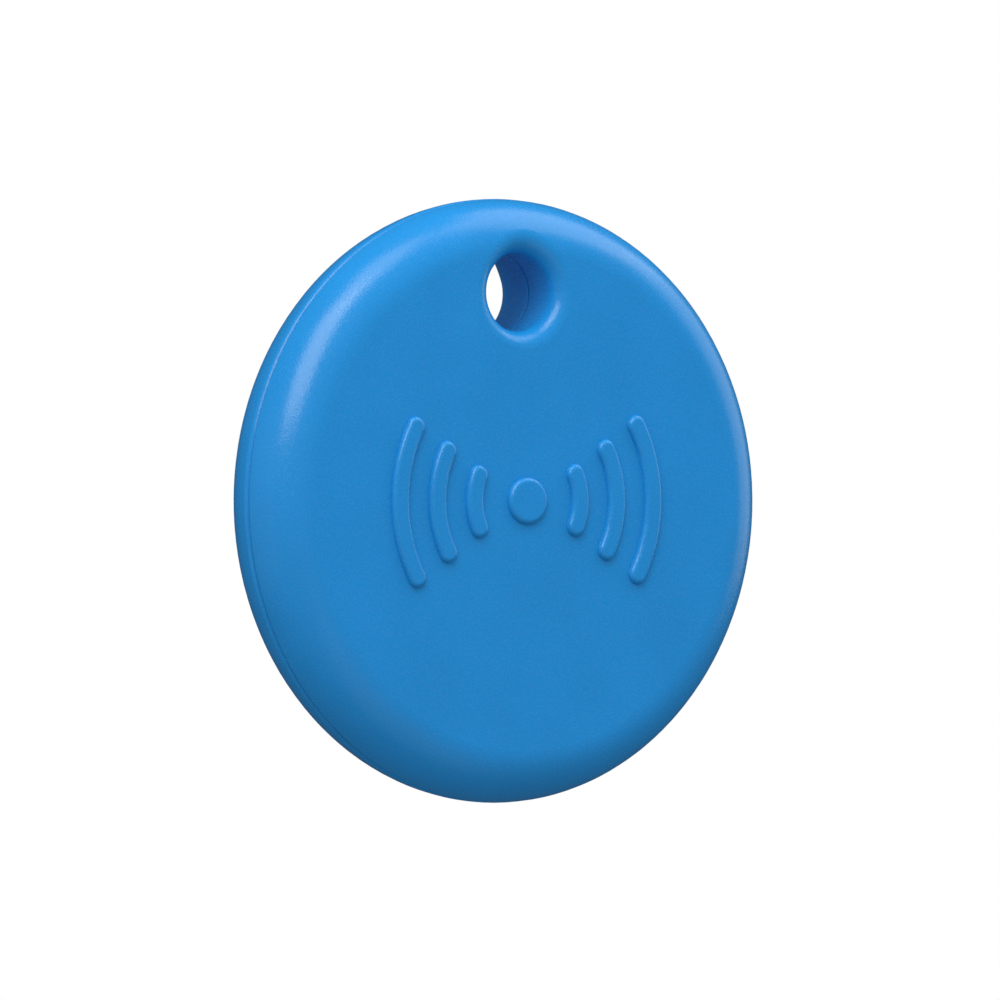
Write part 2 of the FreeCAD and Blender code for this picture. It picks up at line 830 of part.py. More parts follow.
def switch():
    """A low push switch: a cup with a metal dome, a cover plate and a plunger."""
    top = "board_front - switch_height"
    base = switch_block("switch_base", top, "switch_height")
    bore = face_sketch(base, "switch_bore_outline", top)
    draw_circle(bore, "0", "boss_height", "switch_bore")
    removed(base, bore, "switch_height - switch_floor")
    cover = switch_block("switch_cover", top + " - cover_thick", "cover_thick")
    hole = face_sketch(cover, "switch_cover_hole", top + " - cover_thick - 1")
    draw_circle(hole, "0", "boss_height", "cover_hole")
    removed(cover, hole, "cover_thick + 2")
    dome = disc("switch_dome", "switch_bore", "board_front - switch_floor - dome_thick",
                "dome_thick", z="boss_height")
    flange = top + " + flange_clear"
    plunger = new_body("switch_plunger")
    collar = face_sketch(plunger, "plunger_collar", flange)
    draw_circle(collar, "0", "boss_height", "plunger_flange")
    added(plunger, collar, "flange_thick")
    stem = face_sketch(plunger, "plunger_stem", "plunger_top")
    draw_circle(stem, "0", "boss_height", "plunger_radius")
    added(plunger, stem, flange + " - plunger_top")
    return [base, cover, dome, plunger]


def switch_block(label, front, depth):
    body = new_body(label)
    outline = face_sketch(body, label + "_outline", front)
    draw_box(outline, "-switch_width / 2", "switch_width / 2",
             "boss_height - switch_length / 2", "boss_height + switch_length / 2")
    added(body, outline, depth)
    doc.recompute()
    return body


def negative_contact():
    """A flat tab with a bump that meets the cell's cap."""
    rear = "board_front + board_thick"
    body = new_body("negative_contact")
    tab = face_sketch(body, "negative_tab", rear)
    draw_box(tab, "-contact_width / 2", "contact_width / 2",
             "stack_height - contact_foot", "stack_height + contact_foot")
    added(body, tab, "contact_thick")
    bump = face_sketch(body, "negative_bump", rear)
    draw_circle(bump, "0", "stack_height", "contact_bump_radius")
    added(body, bump, "contact_thick + contact_bump")
    return body


def positive_contact(label, side):
    """A bent strip: its foot is soldered to the board and its leg stands beside the can."""
    rear = "board_front + board_thick"
    near = "cell_radius + contact_clear"
    far = near + " + contact_thick"
    body = new_body(label)
    profile = side_sketch(body, label + "_profile")
    draw_outline(profile, [
        (near, rear),
        (far + " + contact_foot", rear),
        (far + " + contact_foot", rear + " + contact_thick"),
        (far, rear + " + contact_thick"),
        (far, "contact_reach"),
        (near, "contact_reach"),
    ])
    strip = body.newObject("PartDesign::Pad", label + "_strip")
    strip.Profile = profile
    strip.Midplane = True
    bind(strip, Length="contact_width")
    doc.recompute()
    rounded(body, label + "_bend", "contact_bend",
            lambda edge: close(edge.BoundBox.XMin, value(near))
            and close(edge.BoundBox.XMax, value(near))
            and close(edge.BoundBox.YMax, value(rear)))
    turn = 0 if side > 0 else 180
    body.Placement.Rotation = FreeCAD.Rotation(FreeCAD.Vector(0, 1, 0), turn)
    bind(body, Base_z="stack_height")
    return body


def sounder_springs():
    """Two little springs between the board and the sounder, at their height at rest."""
    plate = "-disc_half + front_wall + rib_depth + sounder_glue + sounder_thick"
    electrode = plate + " + ceramic_thick + electrode_thick"
    outer = disc("sounder_spring_outer", "spring_radius", plate + " + spring_gap",
                 "board_front - (%s) - spring_gap" % plate,
                 z="stack_height + spring_offset")
    centre = disc("sounder_spring_centre", "spring_radius", electrode + " + spring_gap",
                  "board_front - (%s) - spring_gap" % electrode)
    return [outer, centre]


# ---------------------------------------------------------------- assembly

nodes = [front_shell(), rear_shell(), mid_frame(), circuit_board(), negative_contact()]
nodes += sounder() + coin_cell() + seals() + switch() + sounder_springs()
nodes += [chip(node) for node in BOARD_PARTS]
nodes += [positive_contact("positive_contact_right", 1), positive_contact("positive_contact_left", -1)]
nodes += [
    small_parts("chip_capacitors", "capacitor", CAPACITOR_ROWS),
    small_parts("chip_resistors", "resistor", RESISTOR_ROWS),
    terminals(),
    test_pads(),
]
doc.recompute()

for thing in doc.Objects:
    if "Invalid" in thing.State or "Error" in thing.State:
        raise RuntimeError("%s failed: %s" % (thing.Label, thing.State))
for node in nodes:
    if node.Shape.isNull() or not node.Shape.isValid():
        raise RuntimeError("%s has no valid shape" % node.Label)

os.makedirs("parts", exist_ok=True)
for node in nodes:
    node.Shape.exportStep("parts/%s.step" % node.Label)
    box = node.Shape.BoundBox
    print("%-24s %8.3f mm3  x %.2f %.2f  y %.2f %.2f  z %.2f %.2f" % (
        node.Label, node.Shape.Volume, box.XMin, box.XMax, box.YMin, box.YMax, box.ZMin, box.ZMax))
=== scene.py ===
# The looks of a round tracker tag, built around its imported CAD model. Blender 4.5, metres.
import math
import bmesh
import bpy
from mathutils import Matrix, Vector


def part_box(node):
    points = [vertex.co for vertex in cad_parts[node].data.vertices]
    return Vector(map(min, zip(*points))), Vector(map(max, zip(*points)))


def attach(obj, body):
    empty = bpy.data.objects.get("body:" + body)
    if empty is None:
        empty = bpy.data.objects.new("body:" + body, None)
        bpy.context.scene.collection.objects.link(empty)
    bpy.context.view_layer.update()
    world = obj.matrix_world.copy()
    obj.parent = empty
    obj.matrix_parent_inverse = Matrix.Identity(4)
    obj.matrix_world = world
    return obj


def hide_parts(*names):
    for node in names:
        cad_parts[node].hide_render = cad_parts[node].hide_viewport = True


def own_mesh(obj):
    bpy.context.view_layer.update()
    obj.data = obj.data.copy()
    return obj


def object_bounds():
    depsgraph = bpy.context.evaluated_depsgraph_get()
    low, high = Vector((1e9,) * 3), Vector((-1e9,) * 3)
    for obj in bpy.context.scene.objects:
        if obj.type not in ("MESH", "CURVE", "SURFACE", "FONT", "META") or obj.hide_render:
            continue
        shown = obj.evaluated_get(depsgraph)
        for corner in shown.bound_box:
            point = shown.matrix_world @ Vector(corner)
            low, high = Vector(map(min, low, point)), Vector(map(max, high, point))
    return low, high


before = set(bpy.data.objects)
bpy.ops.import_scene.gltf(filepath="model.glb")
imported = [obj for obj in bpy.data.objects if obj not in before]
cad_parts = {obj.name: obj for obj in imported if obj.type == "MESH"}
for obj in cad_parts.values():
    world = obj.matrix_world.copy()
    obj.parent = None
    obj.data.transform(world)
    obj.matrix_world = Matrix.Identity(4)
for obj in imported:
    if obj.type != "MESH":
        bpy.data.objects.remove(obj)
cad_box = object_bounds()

MM = 0.001
CELL_AXIS_Z = (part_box("cell_can")[0].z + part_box("cell_can")[1].z) / 2


# ---------------------------------------------------------------- material helpers

# Noise values mostly lie between these two.
NOISE_LOW, NOISE_HIGH = 0.3, 0.7


class Shader:
    """A node material being put together."""

    def __init__(self, name, colour, roughness, metallic=0.0):
        self.material = bpy.data.materials.new(name)
        self.material.use_nodes = True
        self.tree = self.material.node_tree
        self.surface = self.tree.nodes["Principled BSDF"]
        self.surface.inputs["Base Color"].default_value = (*colour, 1)
        self.surface.inputs["Roughness"].default_value = roughness
        self.surface.inputs["Metallic"].default_value = metallic
        self.material.diffuse_color = (*colour, 1)
        self.place = self.node("ShaderNodeTexCoord").outputs["Object"]
        self.colour = colour
        self.roughness = roughness
        self.height = None

    def node(self, kind, **settings):
        made = self.tree.nodes.new(kind)
        for name, setting in settings.items():
            setattr(made, name, setting)
        return made

    def join(self, output, socket):
        self.tree.links.new(output, socket)

    def noise(self, size, detail=3.0, stretch=(1, 1, 1)):
        """Noise whose features are about size metres across."""
        mapping = self.node("ShaderNodeMapping")
        mapping.inputs["Scale"].default_value = stretch
        self.join(self.place, mapping.inputs["Vector"])
        made = self.node("ShaderNodeTexNoise")
        made.inputs["Scale"].default_value = 1 / size
        made.inputs["Detail"].default_value = detail
        self.join(mapping.outputs["Vector"], made.inputs["Vector"])
        return made.outputs["Fac"]

    def tint(self, value, amount):
        """Lightens and darkens the base colour by amount where value varies."""
        ramp = self.node("ShaderNodeValToRGB")
        stops = ((NOISE_LOW, 1 - amount), (NOISE_HIGH, 1 + amount))
        for element, (position, gain) in zip(ramp.color_ramp.elements, stops):
            element.position = position
            element.color = (*[min(1.0, channel * gain) for channel in self.colour], 1)
        self.join(value, ramp.inputs["Fac"])
        self.join(ramp.outputs["Color"], self.surface.inputs["Base Color"])

    def vary_roughness(self, value, amount):
        """Makes the surface rougher and smoother by amount where value varies."""
        made = self.node("ShaderNodeMapRange")
        made.inputs["From Min"].default_value = NOISE_LOW
        made.inputs["From Max"].default_value = NOISE_HIGH
        made.inputs["To Min"].default_value = self.roughness - amount
        made.inputs["To Max"].default_value = self.roughness + amount
        self.join(value, made.inputs["Value"])
        self.join(made.outputs["Result"], self.surface.inputs["Roughness"])

    def bump(self, value, depth):
        """Adds a bump of depth metres on top of the ones already there."""
        made = self.node("ShaderNodeBump")
        made.inputs["Distance"].default_value = depth
        made.inputs["Strength"].default_value = 1.0
        self.join(value, made.inputs["Height"])
        if self.height is not None:
            self.join(self.height, made.inputs["Normal"])
        self.height = made.outputs["Normal"]
        self.join(self.height, self.surface.inputs["Normal"])


def shell_blue():
    """Blue ABS from a spark-eroded mould: fine even grain, soft sheen."""
    shader = Shader("shell_blue", (0.013, 0.264, 0.67), 0.24)
    shader.tint(shader.noise(6 * MM, 2), 0.03)
    shader.vary_roughness(shader.noise(0.14 * MM, 2), 0.1)
    shader.bump(shader.noise(0.13 * MM, 2), 0.012 * MM)
    return shader.material


def moulded(name, colour, roughness, mottle, amount, grain, depth):
    """Rubber, plastic, ceramic or foam: mottled, with a grain of its own. Sizes in mm."""
    shader = Shader(name, colour, roughness)
    shader.tint(shader.noise(mottle * MM), amount)
    shader.vary_roughness(shader.noise(2 * grain * MM), 0.06)
    shader.bump(shader.noise(grain * MM, 2), depth * MM)
    return shader.material


def metal(name, colour, roughness, grain, depth, stretch=(1, 1, 1)):
    """Rolled or plated metal: fine marks, drawn out where stretch is small, and stains."""
    shader = Shader(name, colour, roughness, metallic=1.0)
    shader.tint(shader.noise(1.5 * MM), 0.06)
    shader.vary_roughness(shader.noise(0.4 * MM, 4), 0.08)
    shader.bump(shader.noise(grain * MM, 3, stretch), depth * MM)
    return shader.material


def turned_steel(name):
    """Pressed steel with the fine round marks of the die about the cell's axis."""
    shader = Shader(name, (0.62, 0.61, 0.59), 0.26, metallic=1.0)
    shader.tint(shader.noise(4 * MM), 0.05)
    shader.vary_roughness(shader.noise(0.6 * MM, 4), 0.07)
    centre = shader.node("ShaderNodeMapping")
    centre.inputs["Location"].default_value = (0, 0, -CELL_AXIS_Z)
    shader.join(shader.place, centre.inputs["Vector"])
    rings = shader.node("ShaderNodeTexWave", wave_type="RINGS", rings_direction="Y")
    rings.inputs["Scale"].default_value = 1 / (0.9 * MM)
    rings.inputs["Distortion"].default_value = 1.5
    rings.inputs["Detail"].default_value = 4
    shader.join(centre.outputs["Vector"], rings.inputs["Vector"])
    shader.bump(rings.outputs["Fac"], 0.002 * MM)
    return shader.material


def board_mask():
    """Green solder mask: the glass weave shows faintly through it, and it pools in waves."""
    shader = Shader("board_mask", (0.008, 0.105, 0.045), 0.3)
    shader.tint(shader.noise(2.5 * MM), 0.16)
    shader.vary_roughness(shader.noise(1 * MM), 0.06)
    weave = shader.node("ShaderNodeTexBrick", offset=0.5)
    weave.inputs["Scale"].default_value = 1 / (0.5 * MM)
    weave.inputs["Brick Width"].default_value = 0.9
    weave.inputs["Row Height"].default_value = 0.9
    weave.inputs["Mortar Size"].default_value = 0.12
    weave.inputs["Mortar Smooth"].default_value = 1.0
    turn = shader.node("ShaderNodeMapping")
    turn.inputs["Rotation"].default_value = (math.radians(90), 0, 0)
    shader.join(shader.place, turn.inputs["Vector"])
    shader.join(turn.outputs["Vector"], weave.inputs["Vector"])
    shader.bump(weave.outputs["Fac"], 0.004 * MM)
    shader.bump(shader.noise(0.8 * MM), 0.006 * MM)
    return shader.material


# Colour, roughness, the mottle's size and amount, and the grain's size and depth.
MOULDED_SLOTS = {
    "frame_black": ((0.014, 0.014, 0.016), 0.5, 3, 0.2, 0.12, 0.008),
    "switch_black": ((0.02, 0.02, 0.021), 0.42, 1, 0.2, 0.08, 0.004),
    "seal_rubber": ((0.022, 0.022, 0.023), 0.68, 2, 0.25, 0.1, 0.01),
    "pad_foam": ((0.11, 0.11, 0.12), 0.9, 0.5, 0.35, 0.25, 0.05),
    "chip_black": ((0.022, 0.022, 0.025), 0.48, 0.8, 0.18, 0.05, 0.004),
    "ferrite_grey": ((0.075, 0.075, 0.085), 0.55, 0.6, 0.2, 0.06, 0.008),
    "capacitor_tan": ((0.36, 0.22, 0.12), 0.42, 0.5, 0.12, 0.06, 0.004),
    "antenna_white": ((0.74, 0.74, 0.71), 0.4, 0.8, 0.05, 0.05, 0.003),
    "piezo_ceramic": ((0.6, 0.55, 0.44), 0.6, 1.2, 0.08, 0.05, 0.004),
    "gasket_nylon": ((0.5, 0.5, 0.47), 0.4, 1, 0.06, 0.1, 0.003),
    "separator_white": ((0.72, 0.72, 0.7), 0.8, 0.6, 0.08, 0.1, 0.01),
    "cathode_black": ((0.03, 0.03, 0.031), 0.8, 0.5, 0.3, 0.15, 0.02),
    "glue_clear": ((0.55, 0.5, 0.36), 0.25, 0.8, 0.1, 0.5, 0.02),
}
# Colour, roughness, the grain's size and depth, and how the grain is stretched.
METAL_SLOTS = {
    "tin_plate": ((0.7, 0.69, 0.66), 0.3, 0.15, 0.006),
    "gold_plate": ((0.9, 0.62, 0.24), 0.28, 0.1, 0.003),
    "spring_steel": ((0.6, 0.58, 0.54), 0.28, 0.1, 0.004, (1, 1, 0.1)),
    "sounder_brass": ((0.72, 0.5, 0.2), 0.32, 0.12, 0.004, (0.1, 1, 1)),
    "electrode_silver": ((0.78, 0.77, 0.74), 0.42, 0.1, 0.006),
    "lithium_grey": ((0.42, 0.43, 0.45), 0.6, 0.3, 0.02),
}


def slot_materials():
    """One material for each slot that the model's pieces use."""
    made = {"shell_blue": shell_blue(), "board_mask": board_mask(),
            "cell_steel": turned_steel("cell_steel")}
    made.update({name: moulded(name, *looks) for name, looks in MOULDED_SLOTS.items()})
    made.update({name: metal(name, *looks) for name, looks in METAL_SLOTS.items()})
    return made


MATERIALS = slot_materials()
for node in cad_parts.values():
    finish = node.data.materials[0].name
    node.data.materials.clear()
    node.data.materials.append(MATERIALS[finish])


# ---------------------------------------------------------------- mesh helpers

# Outlines and paths are lists of (x, z) in millimetres, and levels are y in millimetres.

SHORTEST = 1e-6


def arc(x, z, radius, start, end, steps):
    """Points from start to end, in degrees anticlockwise from +X."""
    angles = [math.radians(start + (end - start) * step / steps) for step in range(steps + 1)]
    return [(x + radius * math.cos(angle), z + radius * math.sin(angle)) for angle in angles]


def on_circle(radius, angle):
    """The point at an angle on a circle about the disc's axis."""
    return arc(0, 0, radius, angle, angle, 1)[0]


def rectangle(left, right, below, above):
    """The outline of an upright rectangle."""
    return [(left, below), (right, below), (right, above), (left, above)]


def slab(form, outline, low, high, draft=0.0):
    """A flat block with that outline. The high side is smaller by draft all round."""
    middle = Vector((sum(x for x, z in outline), sum(z for x, z in outline))) / len(outline)
    loops = []
    for level, shrink in ((low, 0), (high, draft)):
        loop = []
        for x, z in outline:
            away = Vector((x, z)) - middle
            place = middle + away * max(0, 1 - shrink / max(away.length, SHORTEST))
            loop.append(form.verts.new((place.x * MM, level * MM, place.y * MM)))
        loops.append(loop)
    close_loops(form, loops)


def join_loops(form, one, two):
    """A band of faces from one ring of points to another of as many points."""
    count = len(one)
    for index in range(count):
        after = (index + 1) % count
        form.faces.new((one[index], one[after], two[after], two[index]))


def close_loops(form, loops):
    """Joins rings of points one to the next, with a face on each end."""
    for one, two in zip(loops, loops[1:]):
        join_loops(form, one, two)
    form.faces.new(loops[0][::-1])
    form.faces.new(loops[-1])


def ring(form, x, z, radius, level, steps):
    """Points round a circle."""
    return [form.verts.new((px * MM, level * MM, pz * MM))
            for px, pz in arc(x, z, radius, 0, 360, steps)[:-1]]


def ribbon(form, path, width, low, high):
    """A strip of that width along a path, with round ends."""
    points = [Vector(point) for point in path]
    left, right = [], []
    for index, point in enumerate(points):
        into = (point - points[index - 1]).normalized() if index else None
        out = (points[index + 1] - point).normalized() if index + 1 < len(points) else None
        along = ((into or out) + (out or into)).normalized()
        side = Vector((-along.y, along.x)) * width / 2
        if into and out:
            # a mitre keeps the width through a bend, and is held back in a sharp one
            side /= max(0.5, along.dot(out))
        left.append(point + side)
        right.append(point - side)
    turns = [(points[-1] - points[-2]), (points[0] - points[1])]
    last, first = [math.degrees(math.atan2(turn.y, turn.x)) for turn in turns]
    outline = [tuple(point) for point in right]
    outline += arc(*points[-1], width / 2, last - 60, last + 60, 4)
    outline += [tuple(point) for point in reversed(left)]
    outline += arc(*points[0], width / 2, first - 60, first + 60, 4)
    slab(form, outline, low, high)


def washer(form, x, z, outer, inner, low, high, steps=20):
    """A flat ring."""
    section = ((outer, low), (outer, high), (inner, high), (inner, low))
    loops = [ring(form, x, z, radius, level, steps) for radius, level in section]
    for one, two in zip(loops, loops[1:] + loops[:1]):
        join_loops(form, one, two)


def lathe(form, x, z, profile, steps=24):
    """A solid turned about Y from (radius, level) steps, closed with a face on each end."""
    close_loops(form, [ring(form, x, z, radius, level, steps) for radius, level in profile])


def tube(form, points, radius, sides=8):
    """A round wire through points given as Vectors in millimetres."""
    loops = []
    for index, point in enumerate(points):
        before = points[max(index - 1, 0)]
        after = points[min(index + 1, len(points) - 1)]
        along = (after - before).normalized()
        across = along.cross(Vector((0, 1, 0)) if abs(along.y) < 0.9 else Vector((1, 0, 0)))
        across.normalize()
        above = along.cross(across)
        loop = []
        for side in range(sides):
            angle = 2 * math.pi * side / sides
            rim = across * math.cos(angle) + above * math.sin(angle)
            loop.append(form.verts.new((point + rim * radius) * MM))
        loops.append(loop)
    close_loops(form, loops)


def add_piece(name, build, body, slot, bevel=0.0, material=None):
    """Makes a piece from what build(form) adds, rounds its edges and rides it on a body."""
    form = bmesh.new()
    build(form)
    bmesh.ops.recalc_face_normals(form, faces=form.faces)
    mesh = bpy.data.meshes.new(name)
    form.to_mesh(mesh)
    form.free()
    mesh.materials.append(material or MATERIALS[slot])
    mesh.shade_smooth()
    piece = bpy.data.objects.new(name, mesh)
    bpy.context.scene.collection.objects.link(piece)
    if bevel:
        rounding = piece.modifiers.new("edges", "BEVEL")
        rounding.width = bevel * MM
        rounding.segments = 2
        rounding.limit_method = "ANGLE"
        rounding.angle_limit = math.radians(40)
        rounding.harden_normals = True
    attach(piece, body)
    return piece


def extent(node):
    """The node's (low, high) along x, y and z, in millimetres."""
    low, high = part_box(node)
    return [(low[axis] / MM, high[axis] / MM) for axis in range(3)]


def middle_of(node):
    """The (x, z) of the middle of a node, in millimetres."""
    (left, right), _, (below, above) = extent(node)
    return (left + right) / 2, (below + above) / 2


# ---------------------------------------------------------------- the sounder's springs


def add_spring(node):
    """A small coil spring with closed ends, in place of a plain cylinder."""
    (left, right), (low, high), _ = extent(node)
    x, z = middle_of(node)
    wire = 0.07
    radius = (right - left) / 2 - wire
    turns, steps = 5.0, 24
    closed_turns = 0.8

    def build(form):
        points = []
        count = int(turns * steps)
        for step in range(count + 1):
            share = step / count
            climbed = (share * turns - closed_turns) / (turns - 2 * closed_turns)
            rise = min(1, max(0, climbed))
            angle = 2 * math.pi * turns * share
            points.append(Vector((x + radius * math.cos(angle),
                                  low + wire + (high - low - 2 * wire) * rise,
                                  z + radius * math.sin(angle))))
        tube(form, points, wire)

    coil = add_piece(node + "_coil", build, "core", "spring_steel")
    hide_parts(node)
    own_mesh(coil)


# ---------------------------------------------------------------- the circuit board

BOARD_FRONT, BOARD_REAR = extent("circuit_board")[1]
BOARD_RADIUS = 15.7
# The key tube's slot in the board: half its width, and how high it starts.
SLOT_HALF = 4.1
SLOT_FOOT = 9
# The height of the cell's axis over the disc's.
CELL_Z = -1.8
# How far masked copper, bare plated copper and ink stand off the board.
COPPER = 0.02
PLATED = 1.6 * COPPER
INK = 0.012
TRACK_WIDTH = 0.16
PAD_PITCH = 0.5
COPPER_BEVEL = 0.006

REAR_ROUTES = [
    [(-6.6, -12.5), (-6.6, -10.4), (-5.2, -9.0), (-5.2, -6.2)],
    [(-4.4, -13.4), (-4.4, -10.4), (-3.9, -9.9), (-3.9, -6.2)],
    [(-2.2, -13.9), (-2.2, -10.6), (-2.6, -10.2), (-2.6, -6.2)],
    [(0.0, -14.1), (0.0, -11.2), (-1.3, -9.9), (-1.3, -6.2)],
    [(2.3, -0.8), (4.6, -0.8), (5.6, -1.8), (8.6, -1.8)],
    [(-2.3, -2.6), (-4.6, -2.6), (-5.6, -1.6), (-8.6, -1.6)],
    [(9.2, -6.0), (9.2, -9.0), (6.4, -11.8), (6.4, -13.4)],
    [(8.5, -6.0), (8.5, -8.7), (5.7, -11.5), (5.7, -13.6)],
    [(12.6, 1.4), (12.6, 4.0), (10.2, 6.4), (10.2, 9.6)],
    [(-12.6, 1.4), (-12.6, 4.6), (-10.0, 7.2), (-10.0, 10.4)],
    [(-13.3, 1.4), (-13.3, 4.9), (-10.7, 7.5), (-10.7, 9.6)],
]
FRONT_ROUTES = [
    [(-13.2, 4.9), (-13.2, 7.4), (-11.4, 9.2), (-11.4, 10.8)],
    [(11.2, -8.8), (11.2, -7.4), (12.2, -6.4)],
    [(1.9, -13.2), (3.2, -13.2), (4.6, -11.8), (8.4, -11.8)],
    [(-1.9, -14.6), (-6.0, -14.6), (-8.6, -12.0)],
    [(-11.0, -5.0), (-8.0, -8.0), (-2.4, -10.6)],
    [(10.2, 5.6), (10.2, 2.4), (12.0, 0.6)],
]


def bus(middle, count):
    """Parallel tracks from left to right that climb over the middle of the board."""
    end, bend, climb, pitch, stagger = 8.8, 6.2, 2.6, 0.36, 0.5
    routes = []
    for index in range(count):
        z = middle + pitch * index
        tip = end - stagger * index
        routes.append([(-tip, z), (-bend, z), (climb - bend, z + climb),
                       (bend - climb, z + climb), (bend, z), (tip, z)])
    return routes


def fan(node, reach, count, pitch):
    """Tracks that leave three sides of a package, every second one longer."""
    (_, right), _, (below, above) = extent(node)
    x, z = middle_of(node)
    under, straight = 0.1, 0.3
    flare, short = 1.25, 0.6
    routes = []
    for index in range(count):
        shift = (index - (count - 1) / 2) * pitch
        spread = shift * flare
        far = reach * (1.0 if index % 2 else short)
        routes += [
            [(x + shift, above - under), (x + shift, above + straight),
             (x + spread, above + far)],
            [(x + shift, below + under), (x + shift, below - straight),
             (x + spread, below - far)],
            [(right - under, z + shift), (right + straight, z + shift),
             (right + far, z + spread)],
        ]
    return routes


def on_board(x, z, margin):
    """Whether a point is on the board, away from its rim and from the key tube's slot."""
    in_slot = abs(x) < SLOT_HALF + margin and z > SLOT_FOOT
    return math.hypot(x, z) < BOARD_RADIUS - margin and not in_slot


def add_tracks(name, routes, level, side):
    """Copper tracks under the mask, with a via on each end."""
    kept = [route for route in routes if all(on_board(x, z, 0.3) for x, z in route)]
    via_radius, drill_radius = 0.26, 0.11

    def build_tracks(form):
        for route in kept:
            ribbon(form, route, TRACK_WIDTH, level, level + side * COPPER)

    def build_vias(form):
        for route in kept:
            for x, z in (route[0], route[-1]):
                washer(form, x, z, via_radius, drill_radius, level, level + side * PLATED, 16)

    add_piece(name + "_tracks", build_tracks, "core", "board_mask", COPPER_BEVEL, MASKED_COPPER)
    add_piece(name + "_vias", build_vias, "core", "gold_plate", COPPER_BEVEL)


def add_pour_edge():
    """Masked copper on the rear: four arcs along the rim and an open circle inside them."""
    rim_radius, rim_width = 15.2, 0.5
    circle_radius, circle_width = 6.6, 0.3

    def build(form):
        top = BOARD_REAR + COPPER
        for start, end in ((112, 175), (187, 263), (280, 353), (5, 68)):
            ribbon(form, arc(0, 0, rim_radius, start, end, 40), rim_width, BOARD_REAR, top)
        ribbon(form, arc(0, CELL_Z, circle_radius, 200, 520, 60), circle_width, BOARD_REAR, top)

    add_piece("ground_ring", build, "core", "board_mask", COPPER_BEVEL, MASKED_COPPER)


def add_stitching_vias():
    """Small plated holes along the ground ring, and three bare fiducial dots."""
    count, row_radius = 40, 14.4
    via_radius, drill_radius = 0.2, 0.09
    # the vias stop short of the two contacts beside the cell
    contact_half = 2.6
    dot_radius, dot_top_radius = 0.42, 0.38

    def build(form):
        for index in range(count):
            x, z = on_circle(row_radius, 360 / count * index)
            if on_board(x, z, 0.2) and abs(z - CELL_Z) > contact_half:
                washer(form, x, z, via_radius, drill_radius,
                       BOARD_REAR, BOARD_REAR + PLATED, 14)
        for x, z in ((7.6, 8.6), (-8.4, -11.0), (12.0, -6.4)):
            lathe(form, x, z, [(dot_radius, BOARD_REAR), (dot_radius, BOARD_REAR + COPPER),
                               (dot_top_radius, BOARD_REAR + 1.5 * COPPER)])

    add_piece("stitching_vias", build, "core", "gold_plate", COPPER_BEVEL)


def add_ink():
    """White legend ink: part corners, polarity signs, the cell's outline. No lettering."""
    corner, corner_width = 0.7, 0.12
    sign_z, sign_half, sign_width = 1.5, 0.6, 0.16
    plus_x = 11.2
    cell_line_outer, cell_line_inner = 9.6, 9.45
    pad_mark_z, pad_mark_half, pad_mark_width = -11.6, 0.5, 0.1

    def corners_of(form, node, gap, level, side):
        (left, right), _, (below, above) = extent(node)
        left, right, below, above = left - gap, right + gap, below - gap, above + gap
        for x, z, dx, dz in ((left, above, 1, -1), (right, above, -1, -1),
                             (left, below, 1, 1), (right, below, -1, 1)):
            ribbon(form, [(x + dx * corner, z), (x, z), (x, z + dz * corner)], corner_width,
                   level, level + side * INK)

    def dash(form, x, z, half, width):
        ribbon(form, [(x - half, z), (x + half, z)], width, BOARD_REAR, BOARD_REAR + INK)

    def build(form):
        for node in ("bluetooth_chip", "sounder_driver", "motion_sensor", "boost_inductor",
                     "main_crystal", "clock_crystal", "switch_base"):
            corners_of(form, node, 0.35, BOARD_FRONT, -1)
        corners_of(form, "negative_contact", 0.4, BOARD_REAR, 1)
        for x in (-plus_x, plus_x):
            dash(form, x, sign_z, sign_half, sign_width)
            ribbon(form, [(x, sign_z - sign_half), (x, sign_z + sign_half)], sign_width,
                   BOARD_REAR, BOARD_REAR + INK)
        dash(form, 0, sign_z, sign_half, sign_width)
        washer(form, 0, CELL_Z, cell_line_outer, cell_line_inner,
               BOARD_REAR, BOARD_REAR + INK, 72)
        for x in (-6.6, -4.4, -2.2, 0.0):
            dash(form, x, pad_mark_z, pad_mark_half, pad_mark_width)

    add_piece("legend_ink", build, "core", "antenna_white", 0.0, INK_WHITE)


# ---------------------------------------------------------------- parts on the board

def add_package_feet(node, count, pitch):
    """Tinned feet along the lower edges of a leadless package."""
    (left, right), _, (below, above) = extent(node)
    x, z = middle_of(node)
    half, out, height, draft = 0.12, 0.16, 0.14, 0.05

    def build(form):
        for index in range(count):
            shift = (index - (count - 1) / 2) * pitch
            for foot in (rectangle(x + shift - half, x + shift + half, above, above + out),
                         rectangle(x + shift - half, x + shift + half, below - out, below),
                         rectangle(left - out, left, z + shift - half, z + shift + half),
                         rectangle(right, right + out, z + shift - half, z + shift + half)):
                slab(form, foot, BOARD_FRONT, BOARD_FRONT - height, draft)

    add_piece(node + "_feet", build, "core", "tin_plate", 0.015)


